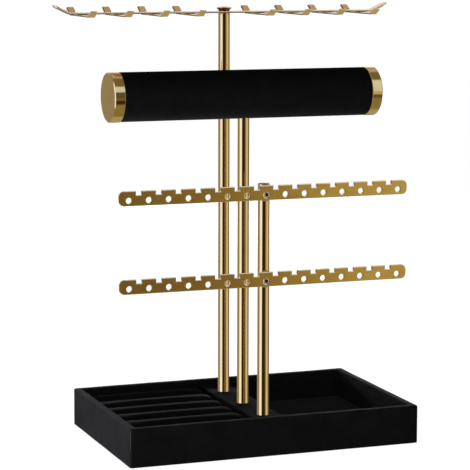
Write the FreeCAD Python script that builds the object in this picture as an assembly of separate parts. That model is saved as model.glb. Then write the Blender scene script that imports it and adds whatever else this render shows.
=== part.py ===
import FreeCAD, Part
import math
import os

from FreeCAD import Vector

# Jewellery stand, millimetres. +X runs along the bars, +Y to the back, +Z up.
# The origin is the middle of the underside, on the surface that the stand rests on.

# Tray: boards wrapped in velvet
TRAY_LENGTH = 310.0
TRAY_DEPTH = 200.0
TRAY_HEIGHT = 40.0
WALL = 8.0
COVER = 0.8
RIM_ROUND = 1.6
BOARD = 8.0
FELT = 0.8
FELT_INSET = 3.0
LINER = 2.0
LAY_GAP = 0.3

# Platform across the middle of the tray, which holds the posts
PLATFORM_WIDTH = 34.0
PLATFORM_DROP = 5.3
SOCKET_GAP = 0.1

# Posts: three tubes in a row from back to front
POST_DIAMETER = 12.0
POST_WALL = 1.5
POST_SPACING = 58.5
REAR_POST_RISE = 402.3
PLUG_LENGTH = 20.0
PLUG_GAP = 0.05

# Screws up through the base into the posts
BASE_SCREW_DIAMETER = 6.0
BASE_SCREW_GRIP = 13.0
BASE_HEAD_ACROSS_FLATS = 10.0
BASE_HEAD_HEIGHT = 4.0
BASE_HEAD_RECESS = 0.6
BASE_RECESS_DIAMETER = 15.0
BASE_HOLE_GAP = 0.3

# Ring pad: foam rolls on a stiff board
ROLL_COUNT = 6
ROLL_SLIT = 0.8
ROLL_TOP_DROP = 5.0
ROLL_DRAW_IN = 1.0
ROLL_SHOULDER = 7.2
ROLL_CROWN = 1.2
ROLL_END_SLOPE = 3.0
PAD_BOARD = 2.0
PAD_GAP = 0.5

# Necklace bar: a strip with up-turned ends, and cross strips under it whose ends are bent up as hooks
SHEET = 2.0
SHEET_BEND = 3.0
SPINE_WIDTH = 14.0
STATION_PITCH = 38.6
STATIONS_PER_SIDE = 4
SPINE_OVERHANG = 13.1
SPINE_END_RUN = 17.5
SPINE_END_RISE = 8.3
HOOK_WIDTH = 8.0
HOOK_REACH = 35.0
HOOK_TIP = 10.6
HOOK_TIP_ANGLE = 29.5
HOOK_CLIP = 1.2

# Finial screw that clamps the necklace bar
FINIAL_HEAD_DIAMETER = 15.8
FINIAL_NECK_DIAMETER = 11.4
FINIAL_NECK = 1.3
FINIAL_FLARE = 2.0
FINIAL_EDGE = 0.5
FINIAL_DOME = 1.3
FINIAL_TOP_DIAMETER = 9.0
STUD_DIAMETER = 6.0
STUD_LENGTH = 14.0

# Bracelet roller across the middle post
ROLLER_RISE = 321.7
ROLLER_DIAMETER = 50.0
ROLLER_LENGTH = 290.0
SLEEVE = 1.2
CORE_WALL = 3.8
CAP_SKIRT = 11.0
CAP_FACE = 1.5
CAP_PROUD = 0.3
CAP_EDGE = 0.9
GLUE_GAP = 0.1
HUB_LENGTH = 44.0
HUB_SEAT = 4.0
NUT_ACROSS_FLATS = 10.0
NUT_LENGTH = 15.0
ENTRY_GAP = 0.5

# Earring bars on the front post
UPPER_BAR_RISE = 225.6
LOWER_BAR_RISE = 138.0
BAR_HEIGHT = 15.0
BAR_THICKNESS = 3.0
BAR_CORNER = 5.5
HOLE_COUNT = 15
HOLE_PITCH = 20.6
HOLE_DIAMETER = 5.5
HOLE_HEIGHT = 5.6
NOTCH_WIDTH = 5.4
NOTCH_DEPTH = 4.3
SEAT_FLAT = 0.8
SEAT_MARGIN = 1.2
FRONT_POST_OVER = 10.2
END_PLUG_LENGTH = 3.0
END_PLUG_SUNK = 0.2

# Screws that hold the earring bars
BAR_SCREW_DIAMETER = 4.0
BAR_SCREW_REACH = 3.0
BAR_HEAD_DIAMETER = 5.7
BAR_HEAD_HEIGHT = 1.4
BAR_HEAD_RECESS = 0.15
BAR_HEAD_GAP = 0.15
BAR_KEY_ACROSS_FLATS = 2.5
BAR_KEY_DEPTH = 0.9
SLUG_LENGTH = 12.0

# Clearances of the parts that turn
RUN_GAP = 0.05
FACE_GAP = 0.05

# Places worked out from the sizes above
INNER_X = TRAY_LENGTH / 2 - WALL
INNER_Y = TRAY_DEPTH / 2 - WALL
BOARD_TOP = FELT + BOARD
PLATFORM_TOP = TRAY_HEIGHT - PLATFORM_DROP
PLATFORM_X = PLATFORM_WIDTH / 2
POST_RADIUS = POST_DIAMETER / 2
BORE_RADIUS = POST_RADIUS - POST_WALL
REAR_Y = POST_SPACING
FRONT_Y = -POST_SPACING
POST_ROW = (REAR_Y, 0.0, FRONT_Y)
REAR_TOP = PLATFORM_TOP + REAR_POST_RISE
ROLLER_Z = PLATFORM_TOP + ROLLER_RISE
ROLLER_RADIUS = ROLLER_DIAMETER / 2
CORE_RADIUS = ROLLER_RADIUS - SLEEVE
CORE_BORE = CORE_RADIUS - CORE_WALL
HUB_SEAT_Z = ROLLER_Z - HUB_SEAT
UPPER_Z = PLATFORM_TOP + UPPER_BAR_RISE
LOWER_Z = PLATFORM_TOP + LOWER_BAR_RISE
FRONT_TOP = UPPER_Z + FRONT_POST_OVER
SEAT_Y = FRONT_Y - POST_RADIUS + SEAT_FLAT
BAR_BACK_Y = SEAT_Y - FACE_GAP
BAR_FRONT_Y = BAR_BACK_Y - BAR_THICKNESS
BAR_HALF = HOLE_COUNT * HOLE_PITCH / 2
PAD_LOW_X = -INNER_X + PAD_GAP
PAD_HIGH_X = -PLATFORM_X - PAD_GAP
PAD_HALF_Y = INNER_Y - PAD_GAP
ROLL_PITCH = 2 * PAD_HALF_Y / ROLL_COUNT
ROLL_FOOT = BOARD_TOP + PAD_BOARD
ROLL_TOP = TRAY_HEIGHT - ROLL_TOP_DROP

SAME = 1e-6
QUARTER_TURN = 90
HEX_SIDES = 6
WALL_SIDES = ("right", "back", "left", "front")
X_AXIS = Vector(1, 0, 0)
Y_AXIS = Vector(0, 1, 0)
Z_AXIS = Vector(0, 0, 1)


def block(x, y, z):
    """Box between the two values of each pair."""
    size = (x[1] - x[0], y[1] - y[0], z[1] - z[0])
    return Part.makeBox(*size, Vector(x[0], y[0], z[0]))


def rod(radius, length, start, axis=Z_AXIS):
    return Part.makeCylinder(radius, length, start, axis)


def level_edges(shape, height):
    """Edges that lie flat at one height."""
    flat = [e for e in shape.Edges if e.BoundBox.ZLength < SAME]
    return [e for e in flat if abs(e.BoundBox.ZMin - height) < SAME]


def round_along_y(shape, height, radius):
    """Round the edges that run along Y at one height."""
    edges = [e for e in level_edges(shape, height) if e.BoundBox.XLength < SAME]
    return shape.makeFillet(radius, edges)


def prism(corners, low, high):
    """Upright prism on a plan with straight sides, given as (x, y) corners."""
    loop = [Vector(x, y, low) for x, y in corners]
    return Part.Face(Part.makePolygon(loop + loop[:1])).extrude(Vector(0, 0, high - low))


def turned(points, centre):
    """Solid of revolution about the upright line through centre, from (radius, height) corners."""
    loop = [centre + Vector(radius, 0, height) for radius, height in points]
    return Part.Face(Part.makePolygon(loop + loop[:1])).revolve(centre, Z_AXIS, 360)


def hex_prism(across_flats, depth, start, axis):
    """Six-sided prism, from start along axis."""
    corner = across_flats / math.sqrt(3)
    side = X_AXIS if abs(axis.dot(X_AXIS)) < 0.5 else Y_AXIS
    other = axis.cross(side)
    ring = []
    for k in range(HEX_SIDES + 1):
        turn = 2 * math.pi * k / HEX_SIDES
        ring.append(start + side * (corner * math.cos(turn)) + other * (corner * math.sin(turn)))
    return Part.Face(Part.makePolygon(ring)).extrude(axis * depth)


def bent_strip(line, thickness, radius, to_space):
    """Face of a sheet seen edge on: the centre line's corners are round bends of one radius.

    line holds (along, up) corners, and to_space turns such a pair into a point.
    """
    half = thickness / 2
    sides = {1: [], -1: []}
    last = {}
    count = len(line)
    for k in range(count):
        at = Vector(line[k][0], line[k][1], 0)
        before = (at - Vector(*line[k - 1], 0)).normalize() if k else None
        after = (Vector(*line[k + 1], 0) - at).normalize() if k < count - 1 else None
        for side in (1, -1):
            if before is None or after is None:
                run = after or before
                point = at + Vector(-run.y, run.x, 0) * (side * half)
                if before is not None:
                    sides[side].append(Part.makeLine(last[side], to_space(point)))
                last[side] = to_space(point)
                continue
            turn = math.atan2(before.x * after.y - before.y * after.x, before.dot(after))
            hand = 1 if turn > 0 else -1
            reach = radius * math.tan(abs(turn) / 2)
            normal = Vector(-before.y, before.x, 0)
            centre = at - before * reach + normal * (hand * radius)
            bend = radius - hand * side * half
            start = centre - normal * (hand * bend)
            out = Vector(-after.y, after.x, 0)
            finish = centre - out * (hand * bend)
            middle = centre + (at - centre).normalize() * bend
            sides[side].append(Part.makeLine(last[side], to_space(start)))
            sides[side].append(Part.Arc(to_space(start), to_space(middle), to_space(finish)).toShape())
            last[side] = to_space(finish)
    first = {side: sides[side][0].firstVertex(True).Point for side in sides}
    caps = [Part.makeLine(first[1], first[-1]), Part.makeLine(last[1], last[-1])]
    return Part.Face(Part.Wire(Part.__sortEdges__(sides[1] + sides[-1] + caps)))


def tray_wall(turn, inset):
    """One wall with a rounded rim, drawn in by inset from the velvet's faces and mitred at both ends.

    It is drawn on the right-hand side and turned round to its own by quarter turns.
    """
    halves = (TRAY_LENGTH / 2, TRAY_DEPTH / 2)
    out, half = halves if turn % 2 == 0 else halves[::-1]
    high = TRAY_HEIGHT - inset
    wall = block((out - WALL + inset, out - inset), (-half, half), (FELT, high))
    wall = round_along_y(wall, high, RIM_ROUND - inset)
    mitre = [(out, -half), (out, half), (out - WALL, half - WALL), (out - WALL, WALL - half)]
    wall = wall.common(prism(mitre, FELT, TRAY_HEIGHT))
    wall.rotate(Vector(0, 0, 0), Z_AXIS, QUARTER_TURN * turn)
    return wall


def tray_cover(boards):
    """Velvet over the outside, rim and inside of the wall boards."""
    walls = [tray_wall(turn, 0.0) for turn in range(len(boards))]
    return walls[0].fuse(walls[1:]).cut(boards).removeSplitter()


def bottom_board():
    """Board that closes the tray, with a recess and a clear hole for each screw into a post."""
    board = block((-INNER_X, INNER_X), (-INNER_Y, INNER_Y), (FELT, BOARD_TOP))
    recess = FELT + BASE_HEAD_RECESS + BASE_HEAD_HEIGHT
    cuts = []
    for y in POST_ROW:
        low = Vector(0, y, FELT)
        cuts.append(rod(BASE_RECESS_DIAMETER / 2, recess - FELT, low))
        cuts.append(rod(BASE_SCREW_DIAMETER / 2 + BASE_HOLE_GAP, BOARD, low))
    return board.cut(cuts)


def felt_sheet():
    """Felt underside, open under each screw."""
    half_x = TRAY_LENGTH / 2 - FELT_INSET
    half_y = TRAY_DEPTH / 2 - FELT_INSET
    sheet = block((-half_x, half_x), (-half_y, half_y), (0, FELT))
    return sheet.cut([rod(BASE_RECESS_DIAMETER / 2, FELT, Vector(0, y, 0)) for y in POST_ROW])


def platform():
    """Block that holds the posts, and the velvet over it."""
    half_y = INNER_Y - LAY_GAP
    inner = PLATFORM_X - COVER
    core = block((-inner, inner), (-half_y, half_y), (BOARD_TOP, PLATFORM_TOP - COVER))
    core = round_along_y(core, PLATFORM_TOP - COVER, RIM_ROUND - COVER)
    cover = block((-PLATFORM_X, PLATFORM_X), (-half_y, half_y), (BOARD_TOP, PLATFORM_TOP))
    cover = round_along_y(cover, PLATFORM_TOP, RIM_ROUND)
    depth = PLATFORM_TOP - BOARD_TOP
    sockets = [rod(POST_RADIUS + SOCKET_GAP, depth, Vector(0, y, BOARD_TOP)) for y in POST_ROW]
    return core.cut(sockets), cover.cut([core] + sockets)


def compartment_liner():
    """Velvet-faced card on the floor of the open compartment."""
    half_y = INNER_Y - LAY_GAP
    return block((PLATFORM_X + LAY_GAP, INNER_X - LAY_GAP), (-half_y, half_y), (BOARD_TOP, BOARD_TOP + LINER))


def pad_board():
    """Stiff board that the ring rolls are fixed on."""
    return block((PAD_LOW_X, PAD_HIGH_X), (-PAD_HALF_Y, PAD_HALF_Y), (BOARD_TOP, BOARD_TOP + PAD_BOARD))


def roll_section(x, y):
    """Cross-section of a roll: crowned top, round shoulders and sides drawn in at the foot."""
    half = (ROLL_PITCH - ROLL_SLIT) / 2
    edge = ROLL_TOP - ROLL_CROWN
    side = edge - ROLL_SHOULDER
    flat = half - ROLL_SHOULDER
    bend = ROLL_SHOULDER * math.sqrt(0.5)
    draw = half - ROLL_DRAW_IN

    def at(dy, z):
        return Vector(x, y + dy, z)

    edges = [Part.makeLine(at(-draw, ROLL_FOOT), at(draw, ROLL_FOOT))]
    for s in (1, -1):
        edges.append(Part.makeLine(at(s * draw, ROLL_FOOT), at(s * half, side)))
        edges.append(Part.Arc(at(s * half, side), at(s * (flat + bend), side + bend),
                              at(s * flat, edge)).toShape())
    edges.append(Part.Arc(at(flat, edge), at(0, ROLL_TOP), at(-flat, edge)).toShape())
    return Part.Wire(Part.__sortEdges__(edges))


def ring_roll(index):
    """One foam roll along X, with ends that lean in towards the top."""
    y = PAD_HALF_Y - (index + 0.5) * ROLL_PITCH
    roll = Part.Face(roll_section(PAD_LOW_X, y)).extrude(Vector(PAD_HIGH_X - PAD_LOW_X, 0, 0))
    low = y - ROLL_PITCH / 2
    lean = [(PAD_LOW_X, ROLL_FOOT), (PAD_HIGH_X, ROLL_FOOT),
            (PAD_HIGH_X - ROLL_END_SLOPE, ROLL_TOP), (PAD_LOW_X + ROLL_END_SLOPE, ROLL_TOP)]
    loop = [Vector(x, low, z) for x, z in lean]
    return roll.common(Part.Face(Part.makePolygon(loop + loop[:1])).extrude(Y_AXIS * ROLL_PITCH))


def post_tube(y, top):
    tube = rod(POST_RADIUS, top - BOARD_TOP, Vector(0, y, BOARD_TOP))
    return tube.cut(rod(BORE_RADIUS, top - BOARD_TOP, Vector(0, y, BOARD_TOP)))


def front_post():
    """Front tube with two flat seats and a screw hole in each."""
    tube = post_tube(FRONT_Y, FRONT_TOP)
    for z in (UPPER_Z, LOWER_Z):
        low = z - HOLE_HEIGHT - SEAT_MARGIN
        high = z - HOLE_HEIGHT + BAR_HEIGHT + SEAT_MARGIN
        flat = block((-POST_RADIUS, POST_RADIUS), (SEAT_Y - POST_RADIUS, SEAT_Y), (low, high))
        hole = rod(BAR_SCREW_DIAMETER / 2 + RUN_GAP, POST_RADIUS, Vector(0, FRONT_Y - POST_RADIUS, z), Y_AXIS)
        tube = tube.cut([flat, hole])
    return tube


def end_plug(y, low, bore):
    """Six-sided threaded plug, its edges against the post's bore, with its thread drawn as a plain bore."""
    across_flats = (BORE_RADIUS - PLUG_GAP) * math.sqrt(3)
    plug = hex_prism(across_flats, PLUG_LENGTH, Vector(0, y, low), Z_AXIS)
    return plug.cut(rod(bore, PLUG_LENGTH, Vector(0, y, low)))


def post_foot_plugs():
    bore = BASE_SCREW_DIAMETER / 2 + PLUG_GAP
    return Part.makeCompound([end_plug(y, BOARD_TOP, bore) for y in POST_ROW])


def base_screw(y):
    """Hexagon-head screw that comes up from under the board into a post."""
    low = Vector(0, y, FELT + BASE_HEAD_RECESS)
    head = hex_prism(BASE_HEAD_ACROSS_FLATS, BASE_HEAD_HEIGHT, low, Z_AXIS)
    return head.fuse(rod(BASE_SCREW_DIAMETER / 2, BOARD_TOP + BASE_SCREW_GRIP - low.z, low)).removeSplitter()


def necklace_bar():
    """Fish-bone bar: a spine with up-turned round ends, welded on cross strips whose ends are bent up."""
    middle = REAR_TOP + FACE_GAP + SHEET / 2
    bend = STATIONS_PER_SIDE * STATION_PITCH + SPINE_OVERHANG
    end = bend + SPINE_END_RUN
    half = SPINE_WIDTH / 2
    line = [(-end, SPINE_END_RISE), (-bend, 0.0), (bend, 0.0), (end, SPINE_END_RISE)]
    strip = bent_strip(line, SHEET, SHEET_BEND, lambda p: Vector(p.x, REAR_Y - half, middle + p.y))
    strip = strip.extrude(Vector(0, SPINE_WIDTH, 0))
    low = middle - 2 * SHEET
    high = middle + SPINE_END_RISE + HOOK_TIP
    plan = block((half - end, end - half), (REAR_Y - half, REAR_Y + half), (low, high))
    plan = plan.fuse([rod(half, high - low, Vector(s * (end - half), REAR_Y, low)) for s in (1, -1)])
    spine = strip.common(plan.removeSplitter())

    tip_run = HOOK_TIP * math.cos(math.radians(HOOK_TIP_ANGLE))
    tip_rise = HOOK_TIP * math.sin(math.radians(HOOK_TIP_ANGLE))
    hook_end = HOOK_REACH + tip_run
    cross_line = [(-hook_end, tip_rise), (-HOOK_REACH, 0.0), (HOOK_REACH, 0.0), (hook_end, tip_rise)]
    hooks = []
    for k in range(-STATIONS_PER_SIDE, STATIONS_PER_SIDE + 1):
        if k == 0:
            continue
        x = k * STATION_PITCH
        face = bent_strip(cross_line, SHEET, SHEET_BEND,
                          lambda p: Vector(x - HOOK_WIDTH / 2, REAR_Y + p.x, middle - SHEET + p.y))
        wide = HOOK_WIDTH / 2
        narrow = wide - HOOK_CLIP
        square = hook_end - HOOK_CLIP
        corners = [(wide, square), (narrow, hook_end), (-narrow, hook_end), (-wide, square),
                   (-wide, -square), (-narrow, -hook_end), (narrow, -hook_end), (wide, -square)]
        plan = prism([(x + dx, REAR_Y + dy) for dx, dy in corners], low, high)
        hooks.append(face.extrude(Vector(HOOK_WIDTH, 0, 0)).common(plan))

    bar = spine.fuse(hooks).removeSplitter()
    return bar.cut(rod(STUD_DIAMETER / 2 + RUN_GAP, 2 * SHEET, Vector(0, REAR_Y, middle - SHEET)))


def finial():
    """Turned screw: stud, neck, flare, edge, and a low crown with a flat top."""
    stud = STUD_DIAMETER / 2
    neck = FINIAL_NECK_DIAMETER / 2
    head = FINIAL_HEAD_DIAMETER / 2
    flare = FINIAL_NECK + FINIAL_FLARE
    edge = flare + FINIAL_EDGE
    profile = [(0.0, -STUD_LENGTH), (stud, -STUD_LENGTH), (stud, 0.0), (neck, 0.0), (neck, FINIAL_NECK),
               (head, flare), (head, edge), (FINIAL_TOP_DIAMETER / 2, edge + FINIAL_DOME),
               (0.0, edge + FINIAL_DOME)]
    return turned(profile, Vector(0, REAR_Y, REAR_TOP + SHEET + 2 * FACE_GAP))


def roller_core():
    """Tube under the velvet, with the window that the middle post comes up through."""
    half = ROLLER_LENGTH / 2 - CAP_FACE - GLUE_GAP
    tube = rod(CORE_RADIUS, 2 * half, Vector(-half, 0, ROLLER_Z), X_AXIS)
    tube = tube.cut(rod(CORE_BORE, 2 * half, Vector(-half, 0, ROLLER_Z), X_AXIS))
    entry = POST_RADIUS + ENTRY_GAP
    return tube.cut(block((-entry, entry), (-entry, entry), (ROLLER_Z - ROLLER_RADIUS, ROLLER_Z)))


def roller_sleeve():
    """Velvet over the core between the two caps."""
    half = ROLLER_LENGTH / 2 - CAP_SKIRT - GLUE_GAP
    tube = rod(ROLLER_RADIUS, 2 * half, Vector(-half, 0, ROLLER_Z), X_AXIS)
    tube = tube.cut(rod(CORE_RADIUS + GLUE_GAP / 2, 2 * half, Vector(-half, 0, ROLLER_Z), X_AXIS))
    return tube.cut(rod(POST_RADIUS + ENTRY_GAP, ROLLER_RADIUS, Vector(0, 0, ROLLER_Z - ROLLER_RADIUS)))


def roller_cap(side):
    """Cup pushed over one end of the core."""
    outer = ROLLER_RADIUS + CAP_PROUD
    face_x = side * ROLLER_LENGTH / 2
    inward = X_AXIS * -side
    cup = rod(outer, CAP_SKIRT, Vector(face_x, 0, ROLLER_Z), inward)
    round_edges = [e for e in cup.Edges if e.BoundBox.XLength < SAME]
    rim = [e for e in round_edges if abs(e.BoundBox.XMin - face_x) < SAME]
    cup = cup.makeChamfer(CAP_EDGE, rim)
    hollow = Vector(face_x, 0, ROLLER_Z) + inward * CAP_FACE
    return cup.cut(rod(CORE_RADIUS + GLUE_GAP, CAP_SKIRT, hollow, inward))


def roller_hub():
    """Square block, its edges against the core's bore, that turns on the top of the middle post."""
    half = (CORE_BORE - GLUE_GAP) * math.sqrt(0.5)
    bottom = ROLLER_Z - half
    hub = block((-HUB_LENGTH / 2, HUB_LENGTH / 2), (-half, half), (bottom, ROLLER_Z + half))
    socket = rod(POST_RADIUS + RUN_GAP, HUB_SEAT_Z - bottom, Vector(0, 0, bottom))
    seat = Vector(0, 0, HUB_SEAT_Z)
    return hub.cut([socket, hex_prism(NUT_ACROSS_FLATS + 2 * GLUE_GAP, NUT_LENGTH, seat, Z_AXIS)])


def roller_nut():
    """Long hexagon nut in the hub, its thread drawn as a plain bore."""
    seat = Vector(0, 0, HUB_SEAT_Z)
    nut = hex_prism(NUT_ACROSS_FLATS, NUT_LENGTH - GLUE_GAP, seat, Z_AXIS)
    return nut.cut(rod(STUD_DIAMETER / 2 + RUN_GAP, NUT_LENGTH, seat))


def middle_stud():
    """Stud that stands out of the middle post into the nut."""
    top = HUB_SEAT_Z - FACE_GAP
    return rod(STUD_DIAMETER / 2, 2 * STUD_LENGTH, Vector(0, 0, top - STUD_LENGTH))


def earring_bar(z):
    """Flat bar with round corners, a row of holes, and a notch in the top edge between each two holes."""
    low = z - HOLE_HEIGHT
    high = low + BAR_HEIGHT
    plate = block((-BAR_HALF, BAR_HALF), (BAR_FRONT_Y, BAR_BACK_Y), (low, high))
    plate = plate.makeFillet(BAR_CORNER, [e for e in plate.Edges if e.BoundBox.YLength > BAR_THICKNESS / 2])
    first = -(HOLE_COUNT - 1) / 2
    cuts = []
    for k in range(HOLE_COUNT):
        x = (first + k) * HOLE_PITCH
        radius = HOLE_DIAMETER / 2 if abs(x) > SAME else BAR_SCREW_DIAMETER / 2 + RUN_GAP
        cuts.append(rod(radius, BAR_THICKNESS, Vector(x, BAR_FRONT_Y, z), Y_AXIS))
    for k in range(HOLE_COUNT - 1):
        x = (first + k + 0.5) * HOLE_PITCH
        cuts.append(block((x - NOTCH_WIDTH / 2, x + NOTCH_WIDTH / 2), (BAR_FRONT_Y, BAR_BACK_Y),
                          (high - NOTCH_DEPTH, high)))
    sink = BAR_HEAD_RECESS + BAR_HEAD_HEIGHT + FACE_GAP
    cuts.append(rod(BAR_HEAD_DIAMETER / 2 + BAR_HEAD_GAP, sink, Vector(0, BAR_FRONT_Y, z), Y_AXIS))
    return plate.cut(cuts)


def earring_screw(z):
    """Socket screw sunk in the middle of an earring bar."""
    start = Vector(0, BAR_FRONT_Y + BAR_HEAD_RECESS, z)
    head = rod(BAR_HEAD_DIAMETER / 2, BAR_HEAD_HEIGHT, start, Y_AXIS)
    shank = rod(BAR_SCREW_DIAMETER / 2, FRONT_Y + BAR_SCREW_REACH - start.y, start, Y_AXIS)
    key = hex_prism(BAR_KEY_ACROSS_FLATS, BAR_KEY_DEPTH, start, Y_AXIS)
    return head.fuse(shank).cut(key).removeSplitter()


def screw_slug(z):
    """Square threaded slug, its edges against the front post's bore, behind an earring bar."""
    half = (BORE_RADIUS - PLUG_GAP) * math.sqrt(0.5)
    slug = block((-half, half), (FRONT_Y - half, FRONT_Y + half), (z - SLUG_LENGTH / 2, z + SLUG_LENGTH / 2))
    return slug.cut(rod(BAR_SCREW_DIAMETER / 2 + PLUG_GAP, 2 * half, Vector(0, FRONT_Y - half, z), Y_AXIS))


def front_post_cap():
    """Plain plug that closes the top of the front tube."""
    low = FRONT_TOP - END_PLUG_SUNK - END_PLUG_LENGTH
    return rod(BORE_RADIUS - PLUG_GAP, END_PLUG_LENGTH, Vector(0, FRONT_Y, low))


def all_parts():
    """Every piece by name."""
    boards = {side: tray_wall(turn, COVER) for turn, side in enumerate(WALL_SIDES)}
    core, cover = platform()
    top_bore = STUD_DIAMETER / 2 + RUN_GAP
    middle_top = HUB_SEAT_Z - FACE_GAP
    parts = {f"{side}_wall_board": board for side, board in boards.items()}
    parts.update({
        "tray_velvet": tray_cover(list(boards.values())),
        "bottom_board": bottom_board(),
        "felt_underside": felt_sheet(),
        "platform_block": core,
        "platform_velvet": cover,
        "compartment_liner": compartment_liner(),
        "rear_post": post_tube(REAR_Y, REAR_TOP),
        "middle_post": post_tube(0.0, middle_top),
        "front_post": front_post(),
        "post_foot_plugs": post_foot_plugs(),
        "rear_post_plug": end_plug(REAR_Y, REAR_TOP - PLUG_LENGTH, top_bore),
        "middle_post_plug": end_plug(0.0, middle_top - PLUG_LENGTH, top_bore),
        "middle_post_stud": middle_stud(),
        "front_post_cap": front_post_cap(),
        "base_screws": Part.makeCompound([base_screw(y) for y in POST_ROW]),
        "ring_pad_board": pad_board(),
        "necklace_bar": necklace_bar(),
        "finial_screw": finial(),
        "roller_core": roller_core(),
        "roller_velvet": roller_sleeve(),
        "roller_cap_left": roller_cap(-1),
        "roller_cap_right": roller_cap(1),
        "roller_hub": roller_hub(),
        "roller_nut": roller_nut(),
        "upper_earring_bar": earring_bar(UPPER_Z),
        "lower_earring_bar": earring_bar(LOWER_Z),
        "upper_bar_screw": earring_screw(UPPER_Z),
        "lower_bar_screw": earring_screw(LOWER_Z),
        "front_post_slugs": Part.makeCompound([screw_slug(z) for z in (UPPER_Z, LOWER_Z)]),
    })
    parts.update({f"ring_roll_{k + 1}": ring_roll(k) for k in range(ROLL_COUNT)})
    return parts


os.makedirs("parts", exist_ok=True)
for name, shape in all_parts().items():
    shape.exportStep(f"parts/{name}.step")
    print(f"{name}: {len(shape.Solids)} solid, valid {shape.isValid()}, {shape.Volume / 1000:.2f} cm3")
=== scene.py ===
import math

import bpy
import numpy as np
from mathutils import Matrix, Vector


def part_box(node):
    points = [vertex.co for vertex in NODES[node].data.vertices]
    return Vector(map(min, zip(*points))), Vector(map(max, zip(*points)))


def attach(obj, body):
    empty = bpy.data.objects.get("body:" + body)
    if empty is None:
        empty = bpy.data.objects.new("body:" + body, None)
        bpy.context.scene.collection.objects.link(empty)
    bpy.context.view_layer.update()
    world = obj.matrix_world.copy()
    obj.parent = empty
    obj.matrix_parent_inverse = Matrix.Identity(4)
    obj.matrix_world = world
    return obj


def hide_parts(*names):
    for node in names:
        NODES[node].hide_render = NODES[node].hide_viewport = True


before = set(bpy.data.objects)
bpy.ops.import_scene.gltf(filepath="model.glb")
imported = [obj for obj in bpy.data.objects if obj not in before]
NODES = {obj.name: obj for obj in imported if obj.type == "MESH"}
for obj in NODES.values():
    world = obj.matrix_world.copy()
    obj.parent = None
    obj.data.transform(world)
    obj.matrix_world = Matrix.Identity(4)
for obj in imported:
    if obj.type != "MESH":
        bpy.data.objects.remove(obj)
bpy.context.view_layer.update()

# The looks of a jewellery stand, in metres, in the frame of its solids:
# +X along the bars, +Y to the back, +Z up.

MM = 0.001
X = np.array((1.0, 0.0, 0.0))
Y = np.array((0.0, 1.0, 0.0))
Z = np.array((0.0, 0.0, 1.0))
SCENE = bpy.context.scene


def span(node):
    """Lowest and highest corner of a solid, as arrays."""
    low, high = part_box(node)
    return np.array(low), np.array(high)


# Places read from the frame
TRAY_LOW, TRAY_HIGH = span("tray_velvet")
PLATFORM_LOW, PLATFORM_HIGH = span("platform_velvet")
LINER_LOW, LINER_HIGH = span("compartment_liner")
SLEEVE_LOW, SLEEVE_HIGH = span("roller_velvet")
POSTS = {name: span(name) for name in ("rear_post", "middle_post", "front_post")}
POST_RADIUS = (POSTS["rear_post"][1][0] - POSTS["rear_post"][0][0]) / 2
REAR_Y = (POSTS["rear_post"][0][1] + POSTS["rear_post"][1][1]) / 2
REAR_TOP = POSTS["rear_post"][1][2]
FRONT_TOP = POSTS["front_post"][1][2]
FRONT_Y = -REAR_Y
ROLLER_Z = (SLEEVE_LOW[2] + SLEEVE_HIGH[2]) / 2
SLEEVE_RADIUS = (SLEEVE_HIGH[2] - SLEEVE_LOW[2]) / 2
BOARD_TOP = span("bottom_board")[1][2]

# Sizes of the posts and of the front one's lid
POST_WALL = 1.5 * MM
POST_RIM_ROUND = 0.35 * MM
POST_SEGMENTS = 128
LID = 0.3 * MM
LID_EDGE = 0.35 * MM

# Sizes of the earring bars, their seats and their screws
HOLE_PITCH = 20.6 * MM
HOLE_RADIUS = 2.75 * MM
HOLE_HEIGHT = 5.6 * MM
HOLE_COUNT = 15
SCREW_HOLE_RADIUS = 3.0 * MM
NOTCH_WIDTH = 5.4 * MM
NOTCH_DEPTH = 4.3 * MM
BAR_CORNER = 5.5 * MM
BAR_EDGE = 0.75 * MM
BAR_STEP = 0.9 * MM
SEAT_FLAT = 0.8 * MM
SEAT_MARGIN = 1.2 * MM
HEAD_HEIGHT = 1.4 * MM
HEAD_ROUND = 0.6 * MM
SHANK_RADIUS = 2.0 * MM
KEY_HALF = 1.25 * MM
KEY_MOUTH = 1.75 * MM
KEY_CHAMFER = 0.3 * MM
KEY_DEPTH = 0.9 * MM

# Sizes of the necklace bar, and the numbers of its edge finishes
SHEET = 2.0 * MM
SHEET_GAP = 0.05 * MM
SHEET_BEND = 3.0 * MM
SHEET_EDGE = 0.8 * MM
WELD_LINE = 0.02 * MM
SPINE_MIDDLE = REAR_TOP + SHEET_GAP + SHEET / 2
SPINE_HALF = 7.0 * MM
SPINE_BEND = 167.5 * MM
SPINE_END_RUN = 17.5 * MM
SPINE_END_RISE = 8.3 * MM
STATION_PITCH = 38.6 * MM
STATIONS = (-4, -3, -2, -1, 1, 2, 3, 4)
HOOK_MIDDLE = SPINE_MIDDLE - SHEET - WELD_LINE
HOOK_HALF = 4.0 * MM
HOOK_REACH = 35.0 * MM
HOOK_TIP = 10.6 * MM
REAR_TIP = 13.8 * MM
HOOK_TIP_ANGLE = math.radians(29.5)
HOOK_CORNER = 1.5 * MM
SPINE_EDGE = 1
HOOK_EDGE = 2
# Blend between painted highlight and painted shade on the necklace bar's edges and the knob
PAINTED_LIGHT_BLEND = 0.15 * MM

# Sizes of the finial
FINIAL_BASE = REAR_TOP + SHEET + 2 * SHEET_GAP
KNOB_NECK = 5.7 * MM
KNOB_FOOT = 0.4 * MM
KNOB_FLARE = 2.8 * MM
KNOB_FLARE_POWER = 1.25
KNOB_BRIM = 3.4 * MM
KNOB_BRIM_MIDDLE = 3.5 * MM
KNOB_BRIM_ROUND = 0.35 * MM
KNOB_DOME_POWER = 2.4

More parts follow.
